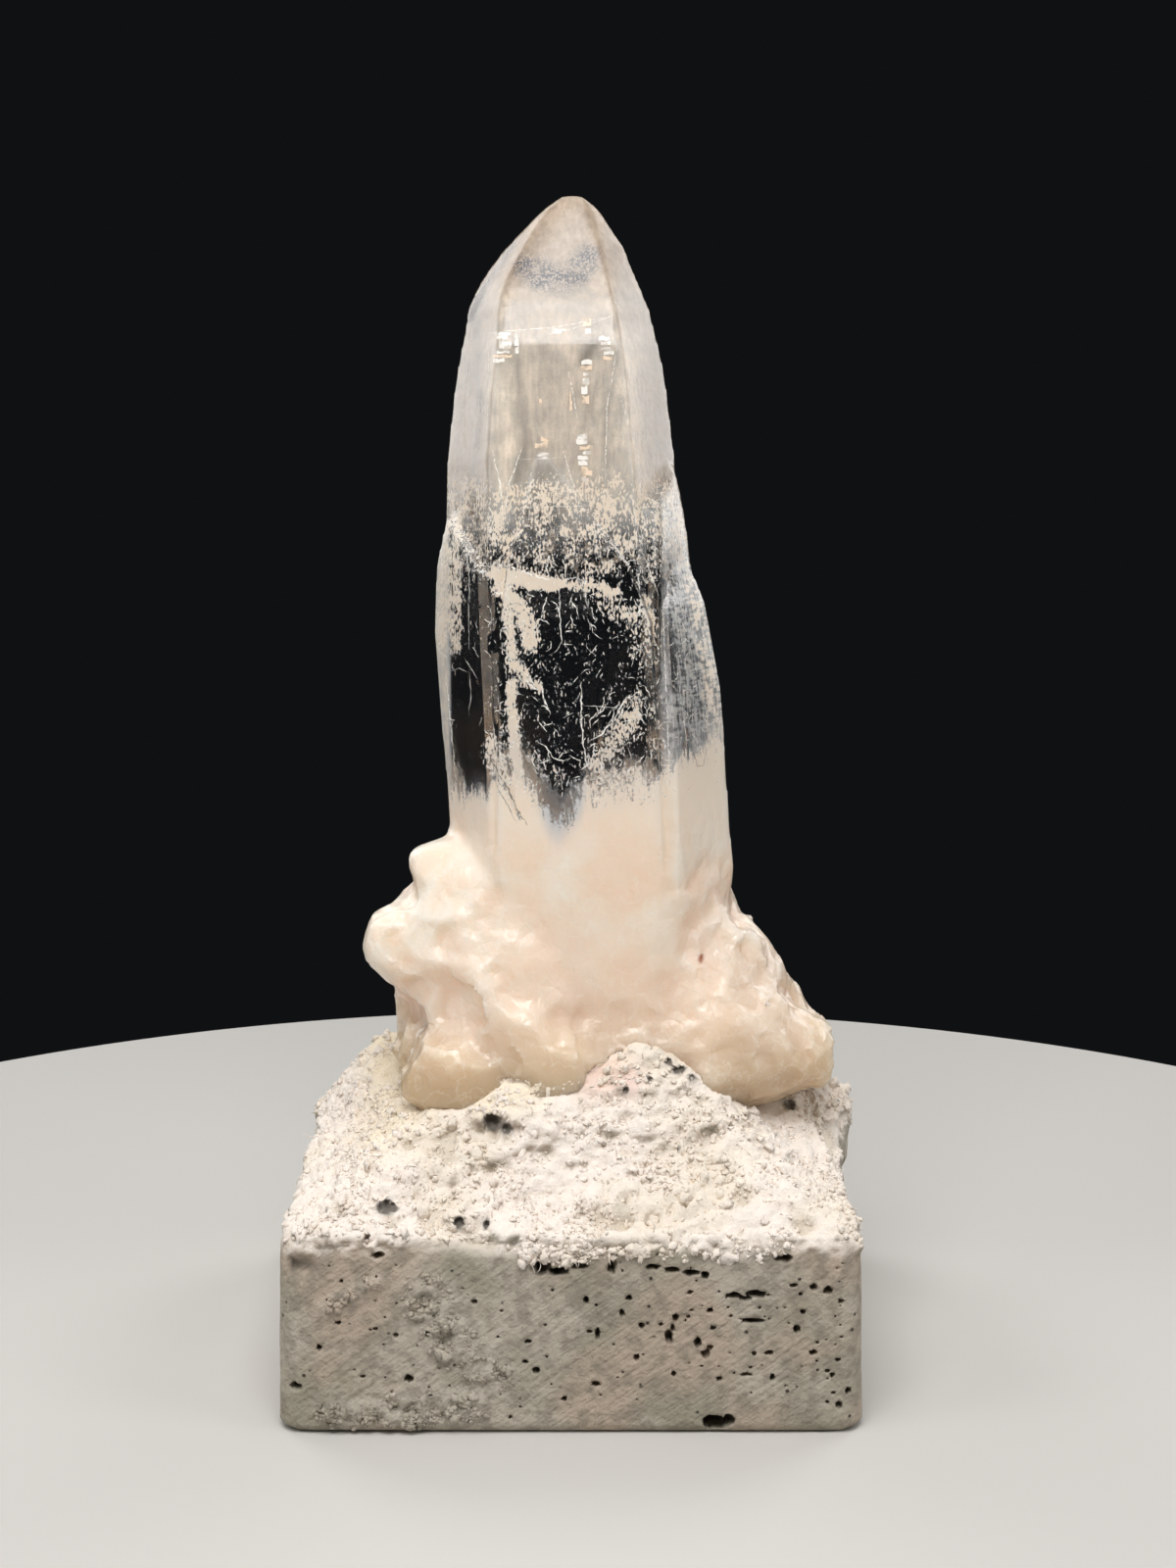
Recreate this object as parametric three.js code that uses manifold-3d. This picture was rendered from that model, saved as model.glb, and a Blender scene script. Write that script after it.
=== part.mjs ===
// A quartz specimen: parallel-grown quartz points on a lumpy milky root, bedded in a cast plaster base.
// Millimetres, +Z up, +Y away from the viewer. The origin is the middle of the base's underside.
import * as THREE from "three";
import { ConvexGeometry } from "three/addons/geometries/ConvexGeometry.js";
import { ImprovedNoise } from "three/addons/math/ImprovedNoise.js";
import { mergeVertices } from "three/addons/utils/BufferGeometryUtils.js";
import Module from "manifold-3d";

// Driving dimensions of the plaster base
const BASE_WIDTH = 92;
const BASE_DEPTH = 90;
const RIM_HEIGHT = 31;
const CORNER_RADIUS = 4.5;
const SIDE_DRAFT = 0.022;
const FOOT_CHAMFER = 1.1;
const ARRIS_INSET = 1.6;
const SHOULDER_HEIGHT = 28.6;

// Driving dimensions of the quartz
const TIP_HEIGHT = 191.6;
const BED_GAP = 0.4;

const wasm = await Module();
wasm.setup();
const perlin = new ImprovedNoise();

// A closed three.js geometry as a solid that can be joined and cut.
function toSolid(geometry) {
  const bare = geometry.clone();
  bare.deleteAttribute("normal");
  bare.deleteAttribute("uv");
  const merged = mergeVertices(bare, 1e-4);
  return new wasm.Manifold(
    new wasm.Mesh({
      numProp: 3,
      vertProperties: merged.attributes.position.array,
      triVerts: new Uint32Array(merged.index.array),
    }),
  );
}

// The largest body of a solid, back as a three.js geometry.
function toGeometry(solid) {
  const bodies = solid.decompose().sort((a, b) => b.volume() - a.volume());
  const mesh = bodies[0].getMesh();
  const geometry = new THREE.BufferGeometry();
  geometry.setAttribute("position", new THREE.BufferAttribute(mesh.vertProperties, 3));
  geometry.setIndex(new THREE.BufferAttribute(mesh.triVerts, 1));
  geometry.computeVertexNormals();
  return geometry;
}

const clamp = THREE.MathUtils.clamp;
const smooth = THREE.MathUtils.smoothstep;

// A bump of height 1 at a place, fading to nothing at its radius.
function bump(x, y, place) {
  const away = Math.hypot((x - place.x) / place.rx, (y - place.y) / place.ry);
  return 1 - smooth(away, 0, 1);
}

// Unevenness that swells and sinks over a given size, both in millimetres.
function uneven(x, y, z, { size, height }) {
  return height * perlin.noise(x / size, y / size, z / size);
}

// One quartz point: the hull of six-sided rings, each given by its height, its left and right
// edges and its front and back faces, closed by a small worn tip. shoulder is the share of the
// width taken by each slanting side face.
function quartzPoint({ rings, tip, shoulder }, grow) {
  const corners = [];
  for (const [z, left, right, front, back] of rings) {
    const inset = shoulder * (right - left);
    const middle = (front + back) / 2;
    corners.push(
      new THREE.Vector3(left - grow, middle, z),
      new THREE.Vector3(left + inset, front - grow, z),
      new THREE.Vector3(right - inset, front - grow, z),
      new THREE.Vector3(right + grow, middle, z),
      new THREE.Vector3(right - inset, back + grow, z),
      new THREE.Vector3(left + inset, back + grow, z),
    );
  }
  const { x, y, z, worn } = tip;
  corners.push(
    new THREE.Vector3(x - worn, y, z),
    new THREE.Vector3(x + worn, y - worn / 2, z - worn / 4),
    new THREE.Vector3(x + worn / 3, y + worn, z - worn / 3),
  );
  return toSolid(new ConvexGeometry(corners));
}

const POINTS = [
  // The main point, tapering to the top of the specimen
  {
    rings: [
      [48, -19.2, 22, -16.2, 18.4],
      [84, -19.8, 22, -16.2, 18.4],
      [112, -20.6, 20.6, -15.8, 18],
      [139, -20.9, 18.4, -14.1, 16.2],
      [150, -20.5, 16.9, -13.4, 15.4],
      [161, -19.2, 15.6, -12.7, 14.6],
      [167.5, -18, 14.5, -12.3, 13.4],
      [173.5, -16, 13.2, -10.6, 11.8],
      [183.5, -9.3, 8.9, -4.2, 6.2],
      [188.8, -5, 5, -0.9, 3.4],
    ],
    tip: { x: 0.3, y: 0.9, z: TIP_HEIGHT, worn: 1.7 },
    shoulder: 0.2,
  },
  // The point grown along its front face, in low relief
  {
    rings: [
      [46, -14.4, 17.4, -17.2, 4],
      [90, -14.1, 16.9, -17, 4],
      [124, -13.2, 14.5, -16.2, 3],
      [133, -11.6, 10.6, -15.6, 2],
    ],
    tip: { x: -4.5, y: -13.8, z: 150.5, worn: 0.9 },
    shoulder: 0.07,
  },
  // The short point on the left
  {
    rings: [
      [50, -18, 4, -15.4, 12],
      [84, -20.2, 4, -15.4, 12],
      [121, -22.6, 4, -14.8, 12],
      [132, -22.3, 2, -13.6, 11],
    ],
    tip: { x: -19.6, y: -3, z: 140, worn: 0.9 },
    shoulder: 0.3,
  },
  // Two points stepping down the right side
  {
    rings: [
      [50, -6, 21.4, -15, 14],
      [110, -5, 21.2, -14.6, 14],
      [134, -3, 19.8, -13.2, 12.5],
      [142, 0, 18.6, -11.8, 10.5],
    ],
    tip: { x: 16.2, y: -1.5, z: 148.5, worn: 0.8 },
    shoulder: 0.26,
  },
  {
    rings: [
      [52, -7, 27.8, -16, 13],
      [80, -7, 27.3, -15.8, 13],
      [99, -6, 25.8, -15.3, 12.6],
      [112, -5, 24.6, -14.6, 12],
      [126, -1, 21.9, -12.8, 10],
    ],
    tip: { x: 17, y: -2, z: 136.5, worn: 0.9 },
    shoulder: 0.28,
  },
  // Two points on the back
  {
    rings: [
      [50, -13, 8, -2, 20.4],
      [100, -13, 8, -2, 20],
      [122, -11, 6, -2, 18.4],
    ],
    tip: { x: -3, y: 15.4, z: 140, worn: 1 },
    shoulder: 0.16,
  },
  {
    rings: [
      [50, -1, 19, -2, 19.8],
      [86, -1, 18.5, -2, 19.4],
      [98, 1, 17, -2, 18.6],
    ],
    tip: { x: 9.5, y: 16.4, z: 112, worn: 1 },
    shoulder: 0.2,
  },
];

// Sections of the milky root about its upright axis: height, and reach to the left, right, front and back
const ROOT_AXIS = { x: 3, y: 0 };
const ROOT_SECTIONS = [
  [97, 17, 18, 10, 12],
  [88, 22, 20, 13, 16.5],
  [83, 25.6, 22, 15, 18.6],
  [78, 30, 24.2, 16, 20],
  [73, 35.2, 26.6, 16.6, 21.5],
  [68, 36.4, 29.6, 16.8, 22.5],
  [63, 35, 33, 17, 23.5],
  [58, 33.6, 37, 17.4, 24.5],
  [53, 33, 41.6, 18.4, 25.5],
  [48, 32.6, 42.2, 19, 25.5],
  [43, 29, 38, 18, 24],
  [38, 20, 28, 13, 18],
];

// Swellings and hollows of the root: bearing in degrees from +X towards the back, height, how far
// they spread in degrees and in height, and how far out they stand
const ROOT_FORMS = [
  { bearing: -150, height: 76, spread: 34, tall: 15, out: 5 },
  { bearing: -128, height: 63, spread: 34, tall: 16, out: 6 },
  { bearing: -106, height: 50, spread: 30, tall: 13, out: 5.2 },
  { bearing: -138, height: 46, spread: 26, tall: 10, out: 3 },
  { bearing: -34, height: 57, spread: 26, tall: 12, out: 4.6 },
  { bearing: -44, height: 47, spread: 28, tall: 9, out: 4 },
  { bearing: -12, height: 66, spread: 14, tall: 9, out: -1.6 },
  { bearing: -74, height: 67, spread: 24, tall: 13, out: -2.6 },
  { bearing: 40, height: 62, spread: 26, tall: 16, out: -4 },
  { bearing: 100, height: 54, spread: 34, tall: 14, out: 2.2 },
  { bearing: 142, height: 68, spread: 26, tall: 16, out: -4.5 },
];

// Reach of the root at a bearing and a height.
function rootReach(bearing, height) {
  const below = clamp(ROOT_SECTIONS.findIndex((row) => row[0] <= height), 1, ROOT_SECTIONS.length - 1);
  const upper = ROOT_SECTIONS[below - 1];
  const lower = ROOT_SECTIONS[below];
  const share = clamp((upper[0] - height) / (upper[0] - lower[0]), 0, 1);
  const [, left, right, front, back] = upper.map((value, i) => value + (lower[i] - value) * share);
  const across = Math.cos(bearing);
  const along = Math.sin(bearing);
  let reach = 1 / Math.hypot(across / (across < 0 ? left : right), along / (along < 0 ? front : back));
  for (const form of ROOT_FORMS) {
    const turn = THREE.MathUtils.radToDeg(bearing) - form.bearing;
    const aside = Math.abs(((turn + 540) % 360) - 180) / form.spread;
    reach += form.out * (1 - smooth(Math.hypot(aside, (height - form.height) / form.tall), 0, 1));
  }
  return reach;
}

// The milky root: a sphere drawn out to those sections, with broken, knobbly sides.
function milkyRoot(grow) {
  const BEARINGS = 46;
  const LEVELS = 24;
  const END_ROUNDING = 14;
  const KNOBBLES = { size: 7.7, height: 2.2 };
  const CHIPS = { size: 3, height: 0.8 };
  const top = ROOT_SECTIONS[0][0];
  const bottom = ROOT_SECTIONS.at(-1)[0];
  const sphere = new THREE.SphereGeometry(1, BEARINGS, LEVELS).rotateX(Math.PI / 2);
  const position = sphere.attributes.position;
  for (let i = 0; i < position.count; i++) {
    const way = new THREE.Vector3().fromBufferAttribute(position, i);
    const level = Math.acos(clamp(way.z, -1, 1)) / Math.PI;
    const height = top + (bottom - top) * level;
    const bearing = Math.atan2(way.y, way.x);
    const closing = Math.sqrt(1 - Math.abs(2 * level - 1) ** END_ROUNDING);
    const reach = rootReach(bearing, height);
    const x = ROOT_AXIS.x + Math.cos(bearing) * reach;
    const y = ROOT_AXIS.y + Math.sin(bearing) * reach;
    const broken = uneven(x, y, height, KNOBBLES) + uneven(x, y, height, CHIPS);
    const isPole = i <= BEARINGS || i >= position.count - BEARINGS - 1;
    const out = isPole ? 0 : (reach + broken) * closing + grow;
    position.setXYZ(
      i,
      ROOT_AXIS.x + Math.cos(bearing) * out,
      ROOT_AXIS.y + Math.sin(bearing) * out,
      height + grow * Math.sign(0.5 - level),
    );
  }
  return toSolid(sphere);
}

// One knob on the root: the hull of points spread evenly over an uneven ellipsoid.
function rootKnob({ at, radii, seed }, grow) {
  const COUNT = 34;
  const SWELL = { size: 0.53, height: 0.3 };
  const turn = Math.PI * (3 - Math.sqrt(5));
  const points = [];
  for (let i = 0; i < COUNT; i++) {
    const height = 1 - (2 * i + 1) / COUNT;
    const ring = Math.sqrt(1 - height * height);
    const way = new THREE.Vector3(ring * Math.cos(i * turn), ring * Math.sin(i * turn), height);
    const swell = 1 + uneven(way.x + seed, way.y, way.z, SWELL);
    const [rx, ry, rz] = radii;
    points.push(
      new THREE.Vector3(
        at[0] + way.x * (rx * swell + grow),
        at[1] + way.y * (ry * swell + grow),
        at[2] + way.z * (rz * swell + grow),
      ),
    );
  }
  return toSolid(new ConvexGeometry(points));
}

const KNOBS = [
  // On the left shoulder
  { at: [-21.4, -4, 78.4], radii: [4.8, 6.5, 6.4], seed: 2.9 },
  { at: [-27.4, -6, 69.5], radii: [7, 8, 6.8], seed: 4.1 },
  // At the foot of the left lobe
  { at: [-18, -13, 50], radii: [9.6, 9, 9], seed: 5.3 },
  { at: [0, -15, 53], radii: [8, 6.4, 5.4], seed: 7.7 },
  // Along the right lobe to its blunt end
  { at: [25.4, -4, 67], radii: [5.4, 8, 7], seed: 9.4 },
  { at: [30.6, -6, 58.5], radii: [6.4, 8, 6.4], seed: 10.6 },
  { at: [37.6, -6, 51], radii: [7, 8, 7.4], seed: 12.8 },
  // On the back
  { at: [-16, 17, 60], radii: [8, 6, 8], seed: 13.5 },
  { at: [16, 18, 64], radii: [8, 5.6, 9], seed: 14.3 },
];

// The whole quartz as one solid. grow swells it, for cutting its bed in the plaster.
function quartz(grow) {
  const grown = [
    ...POINTS.map((point) => quartzPoint(point, grow)),
    milkyRoot(grow),
    ...KNOBS.map((knob) => rootKnob(knob, grow)),
  ];
  return grown.reduce((whole, piece) => whole.add(piece));
}

// Plaster heaped up or pressed down at a place, on top of the general slope up to the quartz
const HEAPS = [
  { x: 17, y: -17, rx: 19, ry: 14, rise: 8 },
  { x: 12.5, y: -19, rx: 9, ry: 7, rise: 1.8 },
  { x: -2, y: -20, rx: 24, ry: 14, rise: 8.5 },
  { x: -35, y: 18, rx: 14, ry: 24, rise: 8 },
  { x: 42, y: 2, rx: 16, ry: 22, rise: 6 },
  { x: 44, y: 8, rx: 8, ry: 9, rise: 4 },
  { x: 2, y: 28, rx: 24, ry: 14, rise: 5 },
  { x: -30, y: -24, rx: 13, ry: 9, rise: 2 },
  { x: -8, y: -36, rx: 16, ry: 6, rise: -2 },
];

// Crumbs of plaster that hang over the sides: outward reach at a place on the rim
const OVERHANGS = [
  { x: 46, y: 8, rx: 12, ry: 11, reach: 4.2 },
  { x: 46, y: -30, rx: 6, ry: 8, reach: 0.9 },
  { x: -46, y: 20, rx: 8, ry: 10, reach: 1.2 },
  { x: 20, y: 45, rx: 12, ry: 6, reach: 1.5 },
];

// Height of the rough plaster top.
function topHeight(x, y) {
  const SLOPE_RISE = 14;
  const SLOPE_RUN = 25;
  const ROUNDING = 0.45;
  const LUMPS = { size: 11.8, height: 1.5 };
  const CRUMBS = { size: 4.2, height: 0.8 };
  const fromEdge = Math.min(BASE_WIDTH / 2 - Math.abs(x), BASE_DEPTH / 2 - Math.abs(y));
  const share = clamp(fromEdge / SLOPE_RUN, 0, 1);
  let height = RIM_HEIGHT + SLOPE_RISE * THREE.MathUtils.lerp(share, smooth(share, 0, 1), ROUNDING);
  for (const heap of HEAPS) height += heap.rise * bump(x, y, heap);
  return height + uneven(x, y, RIM_HEIGHT, LUMPS) + uneven(x, y, RIM_HEIGHT, CRUMBS);
}

// A square with rounded corners: moves a point of the unit square to its place in plan.
function roundedPlan(u, v, inset) {
  const halfWidth = BASE_WIDTH / 2 - inset;
  const halfDepth = BASE_DEPTH / 2 - inset;
  const x = u * halfWidth;
  const y = v * halfDepth;
  const flatX = clamp(x, CORNER_RADIUS - halfWidth, halfWidth - CORNER_RADIUS);
  const flatY = clamp(y, CORNER_RADIUS - halfDepth, halfDepth - CORNER_RADIUS);
  const dx = x - flatX;
  const dy = y - flatY;
  const square = Math.max(Math.abs(dx), Math.abs(dy));
  const round = Math.hypot(dx, dy);
  const pull = round > 0 ? square / round : 1;
  return { x: flatX + dx * pull, y: flatY + dy * pull };
}

// Rows of the side faces up to the rim: height, and inset from the foot. The lowest is trimmed off.
const TRIM = 8;
const ROWS = [
  [-TRIM / 2, FOOT_CHAMFER],
  [0, FOOT_CHAMFER],
  [FOOT_CHAMFER, 0],
  [9, 9 * SIDE_DRAFT],
  [18, 18 * SIDE_DRAFT],
  [24, 24 * SIDE_DRAFT],
  [SHOULDER_HEIGHT, SHOULDER_HEIGHT * SIDE_DRAFT],
  [RIM_HEIGHT, ARRIS_INSET],
];

// The plaster before the quartz is set in it: a box drawn into the cast block with its rough top.
function plasterBlank() {
  const COLUMNS = 34;
  const OVERHANG_DROP = 4;
  const rows = ROWS.length - 1;
  const box = new THREE.BoxGeometry(2, 2, 2, COLUMNS, COLUMNS, rows);
  const position = box.attributes.position;
  for (let i = 0; i < position.count; i++) {
    const u = position.getX(i);
    const v = position.getY(i);
    const row = Math.round(((position.getZ(i) + 1) / 2) * rows);
    const [rowHeight, inset] = ROWS[row];
    const place = roundedPlan(u, v, inset);
    const top = topHeight(place.x, place.y);
    const z = row === rows ? top : rowHeight;
    const lift = smooth(z, SHOULDER_HEIGHT - OVERHANG_DROP, RIM_HEIGHT);
    const outward = new THREE.Vector2(place.x, place.y).normalize();
    let reach = 0;
    for (const crumb of OVERHANGS) reach += crumb.reach * bump(place.x, place.y, crumb) * lift;
    position.setXYZ(i, place.x + outward.x * reach, place.y + outward.y * reach, z);
  }
  const under = new THREE.BoxGeometry(2 * BASE_WIDTH, 2 * BASE_DEPTH, 2 * TRIM);
  return toSolid(box).subtract(toSolid(under.translate(0, 0, -TRIM)));
}

const quartzMaterial = new THREE.MeshStandardMaterial({
  color: "#e9e0d4",
  roughness: 0.25,
  metalness: 0,
  transparent: true,
  opacity: 0.85,
});
const plasterMaterial = new THREE.MeshStandardMaterial({
  color: "#ece6dc",
  roughness: 0.95,
  metalness: 0,
});

const quartzCluster = new THREE.Mesh(toGeometry(quartz(0)), quartzMaterial);
quartzCluster.name = "quartz_cluster";

const plasterBase = new THREE.Mesh(
  toGeometry(plasterBlank().subtract(quartz(BED_GAP))),
  plasterMaterial,
);
plasterBase.name = "plaster_base";

const specimen = new THREE.Group();
specimen.name = "quartz_specimen";
specimen.add(plasterBase, quartzCluster);

export default specimen;
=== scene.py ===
import math

import bmesh
import bpy
import numpy as np
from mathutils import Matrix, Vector, noise
from mathutils.bvhtree import BVHTree


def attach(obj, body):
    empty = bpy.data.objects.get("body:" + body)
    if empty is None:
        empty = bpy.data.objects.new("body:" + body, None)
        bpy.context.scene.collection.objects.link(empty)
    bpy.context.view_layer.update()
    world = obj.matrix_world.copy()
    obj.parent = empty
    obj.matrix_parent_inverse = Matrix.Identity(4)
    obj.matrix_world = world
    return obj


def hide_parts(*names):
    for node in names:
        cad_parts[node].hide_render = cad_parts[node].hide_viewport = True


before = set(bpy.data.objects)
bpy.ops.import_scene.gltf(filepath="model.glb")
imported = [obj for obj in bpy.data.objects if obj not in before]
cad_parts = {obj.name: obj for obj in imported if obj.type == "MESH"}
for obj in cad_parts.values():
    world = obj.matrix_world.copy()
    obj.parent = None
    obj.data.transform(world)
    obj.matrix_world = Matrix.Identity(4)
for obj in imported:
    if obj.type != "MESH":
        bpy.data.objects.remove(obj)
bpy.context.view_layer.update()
scene = bpy.context.scene

# Camera. A normal lens about 40 cm in front of the base and 16 cm above the table, looking a
# little down, where the corners of the block put the viewer.
MM = 0.001
SENSOR_MM = 36
PICTURE_HEIGHT_PX = 1600
FOCAL_LENGTH_PX = 2500
EYE_MM = (2.7, -406, 160.4)
DEGREES_DOWN = 9.1
camera = bpy.data.objects.new("camera", bpy.data.cameras.new("camera"))
camera.data.sensor_width = SENSOR_MM
camera.data.lens = SENSOR_MM * FOCAL_LENGTH_PX / PICTURE_HEIGHT_PX
camera.data.clip_start = 10 * MM
camera.location = [c * MM for c in EYE_MM]
camera.rotation_euler = (math.radians(90 - DEGREES_DOWN), 0, 0)
scene.collection.objects.link(camera)
scene.camera = camera


# Stage. A pale round board under the specimen in a dark room, with a soft key lamp above the camera,
# a large one overhead and weaker ones at the sides and behind. None of it belongs to the object.
def linear(hexcode):
    """The linear colour of an sRGB hex value."""
    parts = [int(hexcode[i:i + 2], 16) / 255 for i in (1, 3, 5)]
    return [p / 12.92 if p <= 0.04045 else ((p + 0.055) / 1.055) ** 2.4 for p in parts] + [1]


scene.view_settings.view_transform = "Standard"
BOARD_RADIUS = 0.22
outline = [
    (BOARD_RADIUS * math.cos(a), BOARD_RADIUS * math.sin(a), -0.1 * MM)
    for a in np.linspace(0, math.tau, 192, endpoint=False)
]
board_mesh = bpy.data.meshes.new("board")
board_mesh.from_pydata(outline, [], [range(len(outline))])
board = bpy.data.objects.new("board", board_mesh)
scene.collection.objects.link(board)
board_paint = bpy.data.materials.new("matte board paint")
board_paint.use_nodes = True
matte = board_paint.node_tree.nodes["Principled BSDF"]
matte.inputs["Base Color"].default_value = linear("#c9c6c1")
matte.inputs["Roughness"].default_value = 0.85
board_mesh.materials.append(board_paint)

room = bpy.data.worlds.new("dark room")
room.use_nodes = True
room.node_tree.nodes["Background"].inputs["Color"].default_value = linear("#101113")
scene.world = room

AIM = Vector((0, 0, 0.09))
for name, place, width, height, watts in (
    ("key lamp", (-0.03, -0.27, 0.46), 0.30, 0.30, 2.1),
    ("overhead lamp", (0.00, 0.05, 0.80), 0.55, 0.55, 1.0),
    ("left lamp", (-0.48, -0.24, 0.30), 0.25, 0.50, 0.9),
    ("right lamp", (0.48, -0.24, 0.30), 0.25, 0.50, 0.9),
    ("left rear lamp", (-0.42, 0.42, 0.40), 0.30, 0.60, 1.5),
    ("right rear lamp", (0.42, 0.42, 0.40), 0.30, 0.60, 1.5),
):
    lamp = bpy.data.objects.new(name, bpy.data.lights.new(name, "AREA"))
    lamp.data.shape = "RECTANGLE"
    lamp.data.size = width
    lamp.data.size_y = height
    lamp.data.energy = watts
    lamp.location = place
    lamp.rotation_euler = (AIM - lamp.location).to_track_quat("-Z", "Y").to_euler()
    lamp.visible_camera = False
    scene.collection.objects.link(lamp)


# Quartz. A cluster of parallel points grown into each other on one milky, lumpy root: rock crystal,
# hazy at the tip, clear in the middle with etch marks, and turning to white vein quartz below.
def remeshed(node, name, **settings):
    """A piece with the shape of a CAD node, in small even faces."""
    piece = bpy.data.objects.new(name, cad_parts[node].data.copy())
    scene.collection.objects.link(piece)
    welded = bmesh.new()
    welded.from_mesh(piece.data)
    bmesh.ops.remove_doubles(welded, verts=welded.verts, dist=0.001 * MM)
    welded.to_mesh(piece.data)
    welded.free()
    even = piece.modifiers.new("even faces", "REMESH")
    for key, value in settings.items():
        setattr(even, key, value)
    made(piece)
    return piece


def made(piece):
    """Gives the piece the mesh that its modifiers make of it."""
    bpy.context.view_layer.update()
    mesh = bpy.data.meshes.new_from_object(piece.evaluated_get(bpy.context.evaluated_depsgraph_get()))
    piece.modifiers.clear()
    piece.data = mesh
    mesh.materials.clear()


def points_of(mesh):
    """The mesh's points in millimetres, and their outward directions."""
    places = np.empty(len(mesh.vertices) * 3)
    normals = np.empty(len(mesh.vertices) * 3)
    mesh.vertices.foreach_get("co", places)
    mesh.vertices.foreach_get("normal", normals)
    return places.reshape(-1, 3) / MM, normals.reshape(-1, 3)


def place_points(mesh, places):
    """Puts the mesh's points at places in millimetres."""
    mesh.vertices.foreach_set("co", (places * MM).ravel())
    mesh.update()


def relax(mesh, places, weight, rounds):
    """Moves each point towards the middle of its neighbours by its weight, some rounds over."""
    pairs = np.empty(len(mesh.edges) * 2, dtype=int)
    mesh.edges.foreach_get("vertices", pairs)
    ends = np.concatenate([pairs, pairs.reshape(-1, 2)[:, ::-1].ravel()]).reshape(-1, 2)
    count = np.bincount(ends[:, 0], minlength=len(places))
    for _ in range(rounds):
        sums = [np.bincount(ends[:, 0], places[ends[:, 1], i], len(places)) for i in range(3)]
        places = places + weight[:, None] * (np.array(sums).T / count[:, None] - places)
    return places


def fade(value, low, high):
    """0 below low, 1 above high, and smooth between."""
    share = np.clip((value - low) / (high - low), 0, 1)
    return share * share * (3 - 2 * share)


def band(value, low, high, soft):
    """1 from low to high, fading to 0 over twice soft at both ends."""
    return fade(value, low - soft, low + soft) * (1 - fade(value, high - soft, high + soft))


def uneven(places, size, stretch=(1, 1, 1), seed=0):
    """Soft unevenness from about -1 to 1, in lumps of that many millimetres."""
    return np.array([noise.noise(p) for p in (places / (size * np.array(stretch)) + seed).tolist()])


def stroke(places, path, reach):
    """1 along a path of (x, z) points seen from the front, fading out within reach."""
    spots = places[:, [0, 2]]
    away = np.full(len(places), np.inf)
    for start, end in zip(np.array(path, dtype=float), np.array(path[1:], dtype=float)):
        along = end - start
        share = np.clip((spots - start) @ along / (along @ along), 0, 1)
        away = np.minimum(away, np.linalg.norm(spots - start - share[:, None] * along, axis=1))
    return 1 - fade(away, 0, reach)


def paint(mesh, name, values):
    """Keeps a number at each point, for the material to read."""
    layer = mesh.attributes.new(name, "FLOAT", "POINT")
    layer.data.foreach_set("value", np.ascontiguousarray(values, dtype=np.float32))


def chipped(places, normals, near, gap, draw):
    """How far each point moves along its normal to lie on flat chips, about gap apart."""
    middles = []
    for i in draw.permutation(near)[:9000]:
        if not middles or np.min(np.linalg.norm(places[middles] - places[i], axis=1)) > gap:
            middles.append(i)
    centres = places[middles]
    faces = normals[middles] + draw.normal(0, 0.14, (len(middles), 3))
    faces /= np.linalg.norm(faces, axis=1)[:, None]
    moves = np.zeros(len(places))
    for part in np.array_split(near, max(1, len(near) // 4000)):
        away = np.linalg.norm(places[part][:, None] - centres, axis=2)
        closest = np.argpartition(away, 6, axis=1)[:, :6]
        tilt = np.einsum("pk,pck->pc", normals[part], faces[closest])
        drop = np.einsum("pck,pck->pc", centres[closest] - places[part][:, None], faces[closest])
        apart = np.take_along_axis(away, closest, axis=1)
        drop = drop / np.maximum(tilt, 0.5) + 3 * gap * fade(apart, 0.7 * gap, 1.9 * gap)
        moves[part] = np.min(drop, axis=1)
    return np.clip(moves, -0.2 * gap, 0.12 * gap)


ROOT_TOP = 86
SHARP_DEGREES = 30
WORN_FROM = 146
quartz = remeshed("quartz_cluster", "quartz", mode="SHARP", octree_depth=8, scale=0.97, sharpness=1.0)
mesh = quartz.data
draw = np.random.default_rng(11)
at, out = points_of(mesh)
in_root = 1 - fade(at[:, 2], ROOT_TOP - 14, ROOT_TOP + 2)
at = relax(mesh, at, 0.6 * in_root, 14)
at = relax(mesh, at, 0.35 * fade(at[:, 2], 122, 140), 5)
at = relax(mesh, at, 0.5 * fade(at[:, 0], 9, 12) * band(at[:, 2], 132, 147, 3), 20)
worn = 0.6 * fade(at[:, 2], 158, 172)
for _ in range(10):
    at = relax(mesh, relax(mesh, at, worn, 1), -1.03 * worn, 1)
at = relax(mesh, at, 0.5 * fade(at[:, 2], 182, 188), 12)
place_points(mesh, at)
at, out = points_of(mesh)
near = np.flatnonzero(in_root > 0.01)
at = relax(mesh, at, 0.4 * band(at[:, 2], 62, 102, 3), 6)
knob = 1 - fade(np.linalg.norm((at - (-22, -6, 83)) * (1, 0.6, 1), axis=1), 0, 7)
at += knob[:, None] * (-3.6, 0, 1.6)
at[:, 0] -= 0.4 * band(at[:, 2], 168, 187, 6) * fade(out[:, 0], 0.1, 0.6)
at[:, 0] -= 1.8 * band(at[:, 2], 173, 185, 6) * fade(-out[:, 0], 0.1, 0.6)
at[:, 2] += 0.7 * fade(at[:, 2], 178, 190)
ledge = np.interp(at[:, 0], [-24, -14, -12, 1.5, 8, 11], [72, 69, 65, 58, 53, 42])
ledge = fade(ledge - at[:, 2] + 2.2 * uneven(at, 5, seed=2), 0, 2.6) * fade(-out[:, 1], 0.1, 0.5)
at[:, 1] -= 2.0 * ledge * fade(at[:, 0], -30, -22)
in_root *= 1 - 0.75 * band(at[:, 0], -10, 17, 4) * fade(at[:, 2], 56, 64) * fade(-out[:, 1], 0.25, 0.6)
lumps = (0.45 + 0.3 * fade(np.abs(out[:, 0]), 0.4, 0.8)) * (uneven(at, 8) + chipped(at, out, near, 7.5, draw))
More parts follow.
